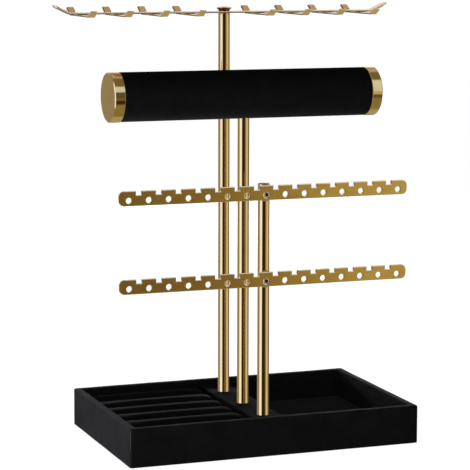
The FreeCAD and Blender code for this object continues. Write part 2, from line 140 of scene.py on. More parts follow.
# Sizes of the bracelet roller
CAP_RADIUS = 25.3 * MM
CAP_SKIRT = 11.0 * MM
CAP_FACE = 1.5 * MM
CAP_EDGE = 0.9 * MM
CAP_LIP = 0.25 * MM
CAP_LIP_RINGS = (0.3 * MM, 0.6 * MM)
SLEEVE = 1.2 * MM
SLEEVE_TUCK = 0.5 * MM
SLEEVE_TUCK_RUN = 2.5 * MM
POST_CLEARANCE = 0.5 * MM
GLUE_GAP = 0.1 * MM

# Sizes of the tray, its cloth and the ring pad
CLOTH = 0.8 * MM
PILE_UNEVEN = 0.12 * MM
TRAY_WALL = 8.0 * MM
TRAY_CORNER = 2.2 * MM
RIM_ROUND = 1.6 * MM
# Paler pile near the tray's rim: partly wear, partly painted highlight where the rim catches light
WORN_AND_LIT_FULL = 0.3 * MM
TURN_UNDER = 4.0 * MM
TURN_UNDER_DROP = 0.1 * MM
PLATFORM_TUCK = 0.2 * MM
DIMPLE_DEPTH = 0.7 * MM
DIMPLE_RUN = 1.2 * MM
ROLL_COUNT = 6
ROLL_SWELL = 0.9 * MM

# Shared values of the meshes, and half the floor's width
WELD = 1e-6
SHARP_ANGLE = math.radians(38)
FLOOR_HALF = 6.0

# Meshes


def grid_quads(rows, columns, wrap=False):
    """Corner numbers of the quads between the points of a grid; wrap joins the last column to the first."""
    index = np.arange(rows * columns).reshape(rows, columns)
    if wrap:
        index = np.hstack([index, index[:, :1]])
    corners = (index[:-1, :-1], index[:-1, 1:], index[1:, 1:], index[1:, :-1])
    return np.stack(corners, axis=-1).reshape(-1, 4)


def weld(points, quads, finish_of=0):
    """Points in one place become one point, and quads that lose a corner by it become triangles.

    finish_of numbers each quad's finish among those of its piece.
    """
    points = points.reshape(-1, 3)
    keys = np.round(points / WELD).astype(np.int64)
    _, first, inverse = np.unique(keys, axis=0, return_index=True, return_inverse=True)
    quads = inverse.reshape(-1)[quads]
    distinct = quads != np.roll(quads, -1, axis=1)
    whole = distinct.all(axis=1)
    cut = distinct.sum(axis=1) == 3
    faces = [quads[whole], quads[cut][distinct[cut]].reshape(-1, 3)]
    finish_of = np.broadcast_to(finish_of, len(quads))
    return points[first], faces, np.concatenate([finish_of[whole], finish_of[cut]])


def joined(patches, finish_of=0):
    """Several (points, quads) patches as one, with their shared borders welded."""
    starts = np.cumsum([0] + [len(points) for points, _ in patches[:-1]])
    points = np.vstack([points for points, _ in patches])
    quads = np.vstack([quads + start for (_, quads), start in zip(patches, starts)])
    return weld(points, quads, finish_of)


def put(name, shape, finish, body, slot, stands_for=(), smooth=True, more=()):
    """A mesh of the given points and faces as a piece that rides on a body and stands for its solids.

    more holds a piece's further finishes. The metal mirrors the studio, the polished pieces and the
    necklace bar.
    """
    points, faces, finish_of = shape
    mesh = bpy.data.meshes.new(name)
    mesh.from_pydata(points.tolist(), [], [f for group in faces for f in group.tolist()])
    mesh.polygons.foreach_set("use_smooth", np.full(len(mesh.polygons), smooth))
    if smooth:
        mesh.set_sharp_from_angle(angle=SHARP_ANGLE)
    for each in (finish, *more):
        mesh.materials.append(each)
    mesh.polygons.foreach_set("material_index", finish_of.astype(np.int32))
    piece = bpy.data.objects.new(name, mesh)
    SCENE.collection.objects.link(piece)
    piece.visible_glossy = slot == "polished_brass" or name == "necklace_bar_sheet"
    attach(piece, body)
    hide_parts(*stands_for)
    return piece


def thicken(piece, thickness, edge):
    """Gives a plate its thickness to both sides and breaks its sharp edges, which have its second finish."""
    wall = piece.modifiers.new("thickness", "SOLIDIFY")
    wall.thickness = thickness
    wall.offset = 0.0
    wall.use_even_offset = True
    bevel = piece.modifiers.new("edges", "BEVEL")
    bevel.width = edge
    bevel.segments = 2
    bevel.material = 1
    bevel.limit_method = "ANGLE"
    bevel.angle_limit = math.radians(50)
    return piece


def lined(piece, thickness=CLOTH):
    """Gives a cloth surface its thickness on the inner side."""
    cloth = piece.modifiers.new("thickness", "SOLIDIFY")
    cloth.thickness = thickness
    cloth.offset = -1.0
    return piece


def arc(centre, radius, start, end, steps=8):
    """Points of a circle's arc between two angles in degrees, as (first, second) rows."""
    turn = np.radians(np.linspace(start, end, steps + 1))
    return np.array(centre) + radius * np.stack([np.cos(turn), np.sin(turn)], axis=-1)


def bent_line(corners, radius, steps=8):
    """Straight runs joined by tangent arcs of one radius, as (along, up) rows."""
    corners = np.array(corners)
    rows = [corners[:1]]
    for before, at, after in zip(corners[:-2], corners[1:-1], corners[2:]):
        run = (at - before) / np.linalg.norm(at - before)
        leave = (after - at) / np.linalg.norm(after - at)
        turn = math.atan2(run[0] * leave[1] - run[1] * leave[0], run @ leave)
        start = at - run * radius * math.tan(abs(turn) / 2)
        angles = np.linspace(0, turn, steps + 1)
        side = np.array((-run[1], run[0])) * math.copysign(1, turn)
        swing = np.abs(np.sin(angles))[:, None] * run + (1 - np.cos(angles))[:, None] * side
        rows.append(start + radius * swing)
    rows.append(corners[-1:])
    return np.vstack(rows)


def lathe(profile, centre, axis=Z, segments=POST_SEGMENTS):
    """A profile of (radius, height) rows turned about an axis: each row makes a ring, radius 0 a pole."""
    turn = np.linspace(0, 2 * np.pi, segments, endpoint=False)
    side = X if abs(axis @ X) < 0.5 else Y
    other = np.cross(axis, side)
    ring = np.cos(turn)[:, None] * side + np.sin(turn)[:, None] * other
    profile = np.asarray(profile)
    points = np.array(centre) + profile[:, 1, None, None] * axis + profile[:, 0, None, None] * ring
    return points, grid_quads(len(profile), segments, wrap=True)


def solid_lathe(profile, centre, axis=Z, segments=POST_SEGMENTS):
    """A turned form with its poles closed."""
    return weld(*lathe(profile, centre, axis, segments))


def ring_round(loop, radius, rings):
    """Rings from a circle about the origin out to a closed loop of points round it, as (ring, point, 2)."""
    angle = np.arctan2(loop[:, 1], loop[:, 0])
    circle = radius * np.stack([np.cos(angle), np.sin(angle)], axis=-1)
    share = np.linspace(0, 1, rings + 1)[:, None, None]
    return circle + (loop - circle) * share


def divided(loop, step):
    """A closed loop with points added on its long straight runs, evenly on each."""
    ends = np.roll(loop, -1, axis=0)
    counts = np.maximum(1, np.ceil(np.linalg.norm(ends - loop, axis=1) / step - 1e-6)).astype(int)
    start = np.repeat(np.arange(len(loop)), counts)
    place = np.arange(counts.sum()) - np.repeat(np.cumsum(counts) - counts, counts)
    share = (place / np.repeat(counts, counts))[:, None]
    return loop[start] * (1 - share) + ends[start] * share


def ripple(points, wavelength, seed):
    """Smooth unevenness between about -1 and 1: a few sine waves in directions drawn once."""
    draw = np.random.default_rng(seed)
    directions = draw.normal(size=(7, 3))
    directions /= np.linalg.norm(directions, axis=1)[:, None]
    lengths = wavelength * draw.uniform(0.6, 1.6, 7)
    phases = draw.uniform(0, 2 * np.pi, 7)
    return np.sin(points @ (directions / lengths[:, None]).T * 2 * np.pi + phases).mean(axis=-1) * 1.6


# Materials


class Finish:
    """A material's nodes, with short ways to add and join them."""

    def __init__(self, name):
        self.material = bpy.data.materials.new(name)
        self.material.use_nodes = True
        self.tree = self.material.node_tree
        self.shader = self.tree.nodes["Principled BSDF"]
        self.place = self.add("ShaderNodeTexCoord").outputs["Object"]

    def add(self, kind, **settings):
        node = self.tree.nodes.new(kind)
        for key, value in settings.items():
            setattr(node, key, value)
        return node

    def link(self, source, target):
        self.tree.links.new(source, target)

    def noise(self, size, stretch=(1, 1, 1), detail=3.0, roughness=0.55):
        """Cloudy values whose features are about one size across, drawn out along each axis by stretch."""
        mapping = self.add("ShaderNodeMapping")
        mapping.inputs["Scale"].default_value = [1 / s for s in stretch]
        self.link(self.place, mapping.inputs["Vector"])
        noise = self.add("ShaderNodeTexNoise")
        noise.inputs["Scale"].default_value = 1 / size
        noise.inputs["Detail"].default_value = detail
        noise.inputs["Roughness"].default_value = roughness
        self.link(mapping.outputs["Vector"], noise.inputs["Vector"])
        return noise.outputs["Fac"]

    def spread(self, value, low, high, start=0.3, end=0.7):
        """A value between start and end, moved to the range from low to high."""
        node = self.add("ShaderNodeMapRange")
        for key, number in (("From Min", start), ("From Max", end), ("To Min", low), ("To Max", high)):
            node.inputs[key].default_value = number
        self.link(value, node.inputs["Value"])
        return node.outputs["Result"]

    def colours(self, value, dark, light, start=0.3, end=0.7):
        ramp = self.add("ShaderNodeValToRGB")
        ramp.color_ramp.elements[0].position = start
        ramp.color_ramp.elements[1].position = end
        ramp.color_ramp.elements[0].color = (*dark, 1)
        ramp.color_ramp.elements[1].color = (*light, 1)
        self.link(value, ramp.inputs["Fac"])
        return ramp.outputs["Color"]

    def by_place(self, axis, before, after, start, end):
        """One colour up to a place along an axis and another past it, mixed between the two places."""
        parts = self.add("ShaderNodeSeparateXYZ")
        self.link(self.place, parts.inputs[0])
        mix = self.add("ShaderNodeMix", data_type="RGBA")
        self.link(self.spread(parts.outputs[axis], 0.0, 1.0, start, end), mix.inputs["Factor"])
        self.link(before, mix.inputs["A"])
        self.link(after, mix.inputs["B"])
        return mix.outputs["Result"]

    def bump(self, layers):
        """Surface relief from (value, height in metres) layers."""
        normal = None
        for value, height in layers:
            node = self.add("ShaderNodeBump")
            node.inputs["Strength"].default_value = 1.0
            node.inputs["Distance"].default_value = height
            self.link(value, node.inputs["Height"])
            if normal:
                self.link(normal, node.inputs["Normal"])
            normal = node.outputs["Normal"]
        self.link(normal, self.shader.inputs["Normal"])

    def set(self, **values):
        for key, value in values.items():
            self.shader.inputs[key.replace("_", " ")].default_value = value

    def feed(self, **sources):
        for key, source in sources.items():
            self.link(source, self.shader.inputs[key.replace("_", " ")])


def velvet(name, deep, pale, sheen, rim=None, pile=0.35 * MM):
    """Short-pile velvet: fine tufts, nap clouds brushed one way or the other, and sheen at grazing angles.

    With a rim height, the pile is paler within a rounding of that height: partly wear, partly painted
    highlight.
    """
    finish = Finish(name)
    nap = finish.noise(22 * MM, (1, 1, 1), detail=4.0)
    tuft = finish.noise(pile, detail=2.0)
    colour = finish.colours(nap, deep, pale, 0.3, 0.72)
    # Paler pile near the rim: partly wear, partly painted highlight
    if rim:
        worn_and_lit_pile = finish.colours(nap, [1.25 * c for c in deep], [1.6 * c for c in pale])
        colour = finish.by_place("Z", colour, worn_and_lit_pile, rim - RIM_ROUND, rim - WORN_AND_LIT_FULL)
    finish.feed(Base_Color=colour, Roughness=finish.spread(tuft, 0.78, 0.98))
    finish.bump([(nap, 0.1 * MM), (tuft, 0.12 * MM)])
    finish.set(Sheen_Weight=sheen, Sheen_Roughness=0.45, Sheen_Tint=(0.62, 0.62, 0.66, 1.0),
               Specular_IOR_Level=0.0)
    return finish.material


def brass(name, dark, light, roughness, lines, grain, line_height, lacquer):
    """Brass with fine lines drawn out along the given axes, slow clouds of tone and a share of lacquer."""
    finish = Finish(name)
    cloud = finish.noise(30 * MM, detail=3.0)
    line = finish.noise(grain, lines, detail=3.0, roughness=0.65)
    finish.feed(Base_Color=finish.colours(cloud, dark, light),
                Roughness=finish.spread(line, roughness[0], roughness[1]))
    finish.bump([(line, line_height)])
    finish.set(Metallic=1.0, Coat_Weight=lacquer, Coat_Roughness=0.08, Coat_IOR=1.5)
    return finish.material


def brass_with_painted_light(name, level, under, over, roughness, behind=None):
    """Brass with a painted highlight above one height, and painted shade below it and, where it is given,
    behind one depth.

    Both are clouded between a darker and a lighter tone.
    """
    finish = Finish(name)
    cloud = finish.noise(5 * MM, detail=4.0)
    # Painted shade below the height and behind the depth, painted highlight above the height
    painted_shade_tone = finish.colours(cloud, *under)
    painted_highlight_tone = finish.colours(cloud, *over)
    colour = finish.by_place("Z", painted_shade_tone, painted_highlight_tone, level - PAINTED_LIGHT_BLEND, level + PAINTED_LIGHT_BLEND)
    if behind:
        colour = finish.by_place("Y", colour, painted_shade_tone, behind - PAINTED_LIGHT_BLEND, behind + PAINTED_LIGHT_BLEND)
    finish.feed(Base_Color=colour, Roughness=finish.spread(cloud, *roughness))
    finish.bump([(cloud, 0.001 * MM)])
    finish.set(Metallic=1.0)
    return finish.material


def felt(name):
    """Pressed felt: short crossing fibres."""
    finish = Finish(name)
    along = finish.noise(0.4 * MM, (5, 1, 1))
    across = finish.noise(0.4 * MM, (1, 5, 1))
    finish.feed(Base_Color=finish.colours(along, (0.012, 0.012, 0.013), (0.035, 0.035, 0.037)),
                Roughness=finish.spread(across, 0.85, 1.0))
    finish.bump([(along, 0.15 * MM), (across, 0.15 * MM)])
    finish.set(Sheen_Weight=0.15, Sheen_Roughness=0.6)
    return finish.material


def fibreboard(name):
    """Pressed wood fibre: pale and dark flecks in the plane of the board."""
    finish = Finish(name)
    fleck = finish.noise(0.9 * MM, (4, 4, 1), detail=4.0)
    finish.feed(Base_Color=finish.colours(fleck, (0.25, 0.17, 0.1), (0.48, 0.36, 0.24)),
                Roughness=finish.spread(fleck, 0.7, 0.9))
    finish.bump([(fleck, 0.05 * MM)])
    return finish.material


def paper_tube(name):
    """Wound grey-brown card with long fibres."""
    finish = Finish(name)
    fibre = finish.noise(0.6 * MM, (8, 1, 1))
    finish.feed(Base_Color=finish.colours(fibre, (0.24, 0.18, 0.12), (0.42, 0.34, 0.24)),
                Roughness=finish.spread(fibre, 0.8, 0.95))
    finish.bump([(fibre, 0.04 * MM)])
    return finish.material


def fixing_steel(name, dark, light, roughness):
    """Plated steel of screws, plugs and nuts: faint turning marks and spots."""
    finish = Finish(name)
    mark = finish.noise(0.35 * MM, (3, 3, 1))
    finish.feed(Base_Color=finish.colours(mark, dark, light),
                Roughness=finish.spread(mark, roughness, roughness + 0.15))
    finish.bump([(mark, 0.01 * MM)])
    finish.set(Metallic=1.0)
    return finish.material


def dark_plug(name):
    """Moulded dark plastic with a fine eggshell texture."""
    finish = Finish(name)
    grain = finish.noise(0.3 * MM, detail=2.0)
    finish.feed(Base_Color=finish.colours(grain, (0.008, 0.007, 0.006), (0.02, 0.018, 0.016)),
                Roughness=finish.spread(grain, 0.4, 0.6))
    finish.bump([(grain, 0.02 * MM)])
    return finish.material


BLACK_VELVET = velvet("black_velvet", (0.011, 0.011, 0.012), (0.017, 0.017, 0.0185), 0.1)
# The tray's velvet is paler near its rim: partly wear, partly painted highlight
TRAY_VELVET = velvet("tray_velvet", (0.011, 0.011, 0.012), (0.017, 0.017, 0.0185), 0.1, TRAY_HIGH[2])
# Darker copy of the black velvet for the platform: painted shade
SHADED_PLATFORM_VELVET = velvet("platform_velvet", (0.006, 0.006, 0.0068), (0.0092, 0.0092, 0.0103), 0.05)
ROLLER_VELVET = velvet("roller_velvet", (0.0105, 0.0105, 0.0115), (0.015, 0.015, 0.0165), 0.07)
RING_VELVET = velvet("ring_pad_velvet", (0.01, 0.01, 0.011), (0.016, 0.016, 0.0175), 0.08)
POST_BRASS = brass("polished_brass", (0.7, 0.46, 0.18), (0.74, 0.5, 0.21), (0.1, 0.14),
                   lines=(1, 1, 60), grain=0.6 * MM, line_height=0.0002 * MM, lacquer=0.8)
CAP_BRASS = brass("satin_brass_cap", (0.68, 0.46, 0.19), (0.74, 0.51, 0.22), (0.08, 0.13),
                  lines=(1, 25, 25), grain=0.4 * MM, line_height=0.0003 * MM, lacquer=0.0)
BAR_BRASS = brass("brushed_brass", (0.7, 0.44, 0.12), (0.8, 0.53, 0.16), (0.13, 0.2),
                  lines=(50, 1, 1), grain=0.35 * MM, line_height=0.006 * MM, lacquer=0.2)
EDGE_BRASS = brass("worn_brass_edge", (0.86, 0.74, 0.5), (0.95, 0.84, 0.6), (0.22, 0.34),
                   lines=(6, 6, 6), grain=0.5 * MM, line_height=0.002 * MM, lacquer=0.0)
SCREW_BRASS = brass("screw_brass", (0.74, 0.54, 0.32), (0.8, 0.6, 0.37), (0.2, 0.3),
                    lines=(1, 20, 1), grain=0.4 * MM, line_height=0.001 * MM, lacquer=0.0)
# Pale tones of the painted highlight on the upper edges of the necklace bar
PAINTED_HIGHLIGHT_TONES = ((0.9, 0.7, 0.48), (0.98, 0.78, 0.56))
# The knob: painted highlight on its brim and dome, painted shade on its flare
KNOB_BRASS = brass_with_painted_light("turned_brass_knob", FINIAL_BASE + KNOB_BRIM,
                          under=((0.2, 0.07, 0.012), (0.26, 0.1, 0.02)),
                          over=((0.84, 0.67, 0.5), (0.93, 0.76, 0.57)), roughness=(0.1, 0.18))
# The spine's edges: painted highlight on the upper bevel, painted shade on the lower
SPINE_EDGE_BRASS = brass_with_painted_light("spine_edge_painted_light", SPINE_MIDDLE,
                                under=((0.38, 0.25, 0.13), (0.44, 0.29, 0.16)),
                                over=PAINTED_HIGHLIGHT_TONES, roughness=(0.3, 0.45))
# The hooks' edges: painted highlight above, painted shade below and on the rear tips
HOOK_EDGE_BRASS = brass_with_painted_light("hook_edge_painted_light", HOOK_MIDDLE,
                               under=((0.2, 0.11, 0.04), (0.26, 0.15, 0.06)),
                               over=PAINTED_HIGHLIGHT_TONES, roughness=(0.3, 0.45), behind=REAR_Y + HOOK_REACH)
FELT = felt("felt")
BOARD = fibreboard("board")
PAPER = paper_tube("paper_tube")
STEEL = fixing_steel("fixing_steel", (0.42, 0.42, 0.43), (0.6, 0.6, 0.6), 0.3)
# Near-black steel for the screw sockets: painted shade in the recess
SOCKET_SHADE_STEEL = fixing_steel("dark_screw", (0.03, 0.026, 0.022), (0.07, 0.06, 0.05), 0.35)
DARK_PLUG = dark_plug("dark_plug")

# Posts


def post(name):
    """Tube with a softly rounded rim: a profile up the outside, over the rim and down the bore, turned.

    A ring just below the rim keeps the long wall's shading straight. The front tube is flat behind each bar,
    and its upper flat runs out at the rim.
    """
    low, high = POSTS[name]
    place_y = {"rear_post": REAR_Y, "middle_post": 0.0, "front_post": FRONT_Y}[name]
    centre = ((low[0] + high[0]) / 2, place_y)
    bore = POST_RADIUS - POST_WALL
    top = high[2]
    outer = arc((POST_RADIUS - POST_RIM_ROUND, top - POST_RIM_ROUND), POST_RIM_ROUND, 0, 90, 4)
    inner = arc((bore + POST_RIM_ROUND, top - POST_RIM_ROUND), POST_RIM_ROUND, 90, 180, 4)
    seats = []
    if name == "front_post":
        for bar in ("lower_earring_bar", "upper_earring_bar"):
            bar_low, bar_high = span(bar)
            seats.append((bar_low[2] - SEAT_MARGIN, bar_high[2] + SEAT_MARGIN))
    shoulder = top - 2 * POST_RIM_ROUND
    rows = [[(POST_RADIUS, low[2])]]
    flat = [False]
    for start, end in seats:
        rows.append([(POST_RADIUS, z) for z in (start, start)])
        flat += [False, True]
        if end < shoulder:
            rows.append([(POST_RADIUS, z) for z in (end, end)])
            flat += [True, False]
    rows += [[(POST_RADIUS, shoulder)], outer]
    flat += [flat[-1]] * (1 + len(outer))
    rows += [inner, [(bore, shoulder), (bore, low[2]), (POST_RADIUS, low[2])]]
    profile = np.vstack(rows)
    flat = np.array(flat + [False] * (len(profile) - len(flat)))
    points, quads = lathe(profile, (*centre, 0.0))
    seat_y = centre[1] - POST_RADIUS + SEAT_FLAT
    points[flat, :, 1] = np.maximum(points[flat, :, 1], seat_y)
    shape = weld(points, quads)
    return put(name + "_tube", shape, POST_BRASS, "base", "polished_brass", [name])


def post_lid():
    """Flat lid that closes the front tube: a plug down the bore under a thin round-edged disc on the rim."""
    low, high = span("front_post_cap")
    plug = (high[0] - low[0]) / 2
    edge = arc((POST_RADIUS - LID_EDGE, FRONT_TOP + LID / 2), LID / 2, -90, 90, 6)
    rings = np.linspace(edge[-1, 0], 0, 6)[1:]
    profile = np.vstack([[(0, low[2]), (plug, low[2]), (plug, FRONT_TOP)], edge,
                         np.stack([rings, 0 * rings + FRONT_TOP + LID], axis=-1)])
    return put("front_post_lid", solid_lathe(profile, (0, FRONT_Y, 0)), DARK_PLUG, "base", "dark_plug",
               ["front_post_cap"])


for post_name in POSTS:
    post(post_name)
post_lid()

# Earring bars


def cell_loop(first, last):
    """Outline of the plate round one hole: half notches at the top, and round corners at a bar's end."""
    half = HOLE_PITCH / 2
    low = -HOLE_HEIGHT
    high = BAR_HEIGHT - HOLE_HEIGHT
    floor = high - NOTCH_DEPTH
    gap = half - NOTCH_WIDTH / 2
    turn = half - BAR_CORNER
    rows = [arc((-turn, low + BAR_CORNER), BAR_CORNER, 180, 270, 12) if first else [(-half, low)],
            arc((turn, low + BAR_CORNER), BAR_CORNER, 270, 360, 12) if last else [(half, low)],
            arc((turn, high - BAR_CORNER), BAR_CORNER, 0, 90, 12) if last else
            [(half, floor), (gap, floor), (gap, high)],
            arc((-turn, high - BAR_CORNER), BAR_CORNER, 90, 180, 12) if first else
            [(-gap, high), (-gap, floor), (-half, floor)]]
    return divided(np.vstack(rows), BAR_STEP)


def earring_bar(name, body):
    """Flat bar: round each hole, rings of quads from the circle out to its cell's outline, thickened."""
    low, high = span(name)
    middle_y = (low[1] + high[1]) / 2
    patches = []
    for k in range(HOLE_COUNT):
        place = k - (HOLE_COUNT - 1) / 2
        radius = HOLE_RADIUS if place else SCREW_HOLE_RADIUS
        rings = ring_round(cell_loop(k == 0, k == HOLE_COUNT - 1), radius, 4)
        flat = np.zeros(rings.shape[:2])
        points = np.stack([rings[..., 0] + place * HOLE_PITCH, flat + middle_y,
                           rings[..., 1] + low[2] + HOLE_HEIGHT], axis=-1)
        patches.append((points.reshape(-1, 3), grid_quads(*rings.shape[:2], wrap=True)))
    piece = put(name + "_plate", joined(patches), BAR_BRASS, body, "brushed_brass", [name], smooth=False,
                more=[EDGE_BRASS])
    return thicken(piece, high[1] - low[1], BAR_EDGE)


def bar_screw(name):
    """Socket screw: rings about Y from the shank's end out round the head and into a six-sided socket."""
    low, high = span(name)
    head = (high[0] - low[0]) / 2
    front = low[1]
    turn = np.linspace(0, 2 * np.pi, 48, endpoint=False)
    circle = np.ones(len(turn))
    sixth = np.pi / 3
    hexagon = KEY_HALF / np.cos((turn + sixth / 2) % sixth - sixth / 2)
    rim = arc((head - HEAD_ROUND, front + HEAD_ROUND), HEAD_ROUND, 0, -90, 6)
    rows = [(0 * circle, high[1]), (SHANK_RADIUS * circle, high[1]),
            (SHANK_RADIUS * circle, front + HEAD_HEIGHT), (head * circle, front + HEAD_HEIGHT),
            *((radius * circle, y) for radius, y in rim),
            (KEY_MOUTH * circle, front), (hexagon, front + KEY_CHAMFER), (hexagon, front + KEY_DEPTH),
            (0 * circle, front + KEY_DEPTH)]
    centre = (low + high) / 2
    cosine, sine = np.cos(turn), np.sin(turn)
    rings = [np.stack([centre[0] + radius * cosine, y + 0 * turn, centre[2] + radius * sine], axis=-1)
             for radius, y in rows]
    points = np.stack(rings)
    # The socket's walls and floor take the near-black finish: painted shade in the recess
    socket = np.repeat(np.arange(len(rows) - 1) >= len(rows) - 4, len(turn))
    shape = weld(points, grid_quads(len(rows), len(turn), wrap=True), socket)
    return put(name + "_socket_head", shape, SCREW_BRASS, "base", "brushed_brass", [name], more=[SOCKET_SHADE_STEEL])


BAR_HEIGHT = span("upper_earring_bar")[1][2] - span("upper_earring_bar")[0][2]
earring_bar("upper_earring_bar", "upper_bar")
earring_bar("lower_earring_bar", "lower_bar")
bar_screw("upper_bar_screw")
bar_screw("lower_bar_screw")

# Necklace bar and finial


def strip(corners, half, corner, edge_finish, to_space):
    """A sheet strip along a bent line, with rounded corners and edges, as (points, quads) and quad finishes.

    Its rings are rounded rectangles on the flat strip: from the middle line of the lower face out to the
    edge, round the edge, and in again on the upper face. Each ring is drawn in by its inset, laid along the
    bent line and set off from the line by its height. to_space makes a point of (along, across, up).
    """
    line = bent_line(corners, SHEET_BEND, 12)
    run = np.concatenate([[0], np.cumsum(np.linalg.norm(np.diff(line, axis=0), axis=1))])
    run -= run[-1] / 2
    slope = np.arctan2(np.gradient(line[:, 1], run), np.gradient(line[:, 0], run))
    end = run[-1]
    sides = np.concatenate([[half - end], run[np.abs(run) < end - half], [end - half]])

    def ring(inset):
        """Rounded rectangle drawn in by an inset, counter-clockwise, as (along, across) rows."""
        radius = max(corner - inset, 0)
        middle = (end - inset - radius, half - inset - radius)
        side = np.full(len(sides), half - inset)
        corner_arcs = [arc((x * middle[0], y * middle[1]), radius, start, start + 90, 8)
                       for x, y, start in ((1, -1, -90), (1, 1, 0), (-1, 1, 90), (-1, -1, 180))]
        return np.vstack([corner_arcs[0], corner_arcs[1], np.stack([sides[::-1], side], axis=-1),
                          corner_arcs[2], corner_arcs[3], np.stack([sides, -side], axis=-1)])

    edge = arc((SHEET_EDGE, SHEET / 2 - SHEET_EDGE), SHEET_EDGE, 180, 90, 2)
    rows = np.vstack([[(half, -SHEET / 2)], edge[::-1] * (1, -1), edge, [(half, SHEET / 2)]])
    rings = np.stack([ring(inset) for inset in rows[:, 0]])
    height = rows[:, 1:]
    tilt = np.interp(rings[..., 0], run, slope)
    along = np.interp(rings[..., 0], run, line[:, 0]) - height * np.sin(tilt)
    up = np.interp(rings[..., 0], run, line[:, 1]) + height * np.cos(tilt)
    points = to_space(along, rings[..., 1], up).reshape(-1, 3)
    edge_gap = (np.arange(len(rows) - 1) > 0) & (np.arange(len(rows) - 1) < len(rows) - 2)
    finish_of = np.repeat(edge_finish * edge_gap, rings.shape[1])
    return (points, grid_quads(*rings.shape[:2], wrap=True)), finish_of


def necklace_bar():
    """Spine with round, up-turned ends over cross strips with up-turned ends, the rear ones longer."""
    reach = SPINE_BEND + SPINE_END_RUN
    corners = [(-reach, SPINE_END_RISE), (-SPINE_BEND, 0), (SPINE_BEND, 0), (reach, SPINE_END_RISE)]
    strips = [strip(corners, SPINE_HALF, SPINE_HALF, SPINE_EDGE, lambda along, across, up: np.stack(
        [along, REAR_Y + across, SPINE_MIDDLE + up], axis=-1))]

    slope = np.array((math.cos(HOOK_TIP_ANGLE), math.sin(HOOK_TIP_ANGLE)))
    reach = HOOK_REACH + HOOK_TIP * slope[0]
    corners = [(-reach, HOOK_TIP * slope[1]), (-HOOK_REACH, 0), (reach - REAR_TIP * slope[0], 0),
               (reach, REAR_TIP * slope[1])]
    for station in STATIONS:
        x = station * STATION_PITCH
        strips.append(strip(corners, HOOK_HALF, HOOK_CORNER, HOOK_EDGE, lambda along, across, up: np.stack(
            [x - across, REAR_Y + along, HOOK_MIDDLE + up], axis=-1)))
    shape = joined([patch for patch, _ in strips], np.concatenate([edges for _, edges in strips]))
    # The edge finishes hold painted highlight above the sheet's middle and painted shade below it
    return put("necklace_bar_sheet", shape, BAR_BRASS, "necklace_holder", "brushed_brass", ["necklace_bar"],
               smooth=False, more=[SPINE_EDGE_BRASS, HOOK_EDGE_BRASS])


def finial():
    """Turned knob: short neck, flare a little hollower than a cone, round brim and a low dome."""
    low, high = span("finial_screw")
    head = (high[0] - low[0]) / 2
    climb = np.linspace(0, 1, 10)
    flare = np.stack([KNOB_NECK + (head - KNOB_NECK) * climb ** KNOB_FLARE_POWER,
                      KNOB_FOOT + KNOB_FLARE * climb], axis=-1)
    brim = arc((head - KNOB_BRIM_ROUND, KNOB_BRIM_MIDDLE), KNOB_BRIM_ROUND, -60, 60, 6)
    share = np.linspace(1, 0, 12)
    dome_start = brim[-1]
    rise = high[2] - FINIAL_BASE - dome_start[1]
    dome = np.stack([dome_start[0] * share, dome_start[1] + rise * (1 - share ** KNOB_DOME_POWER)], axis=-1)
    profile = np.vstack([[(0, 0), (KNOB_NECK, 0)], flare[:-1], brim, dome[1:]])
    shape = solid_lathe(profile, (0, REAR_Y, FINIAL_BASE))
    # The knob's finish holds painted highlight above the brim and painted shade on the flare
    return put("finial_knob", shape, KNOB_BRASS, "finial", "polished_brass", ["finial_screw"])


necklace_bar()
finial()

# Bracelet roller


def roller_cap(name, side):
    """Cup turned about X: hollow, a skirt with a fine round lip, a bevelled rim and a flat face."""
    low, high = span(name)
    face = high[0] if side > 0 else low[0]
    lip = arc((CAP_RADIUS - CAP_LIP, -CAP_SKIRT + CAP_LIP), CAP_LIP, -90, 0, 4)
    skirt = np.array([(CAP_RADIUS, ring - CAP_SKIRT) for ring in CAP_LIP_RINGS])
    rim = np.array([(CAP_RADIUS, -CAP_EDGE), (CAP_RADIUS - CAP_EDGE, 0)])
    rings = np.linspace(rim[-1, 0], 0, 8)[1:]
    disc = np.stack([rings, 0 * rings], axis=-1)
    bore = SLEEVE_RADIUS - SLEEVE + GLUE_GAP
    hollow = [(0, -CAP_FACE), (bore, -CAP_FACE), (bore, -CAP_SKIRT)]
    profile = np.vstack([hollow, lip, skirt, rim, disc])
    shape = solid_lathe(profile, (face, 0, ROLLER_Z), X * side, 192)
    return put(name + "_cup", shape, CAP_BRASS, "roller", "polished_brass", [name])


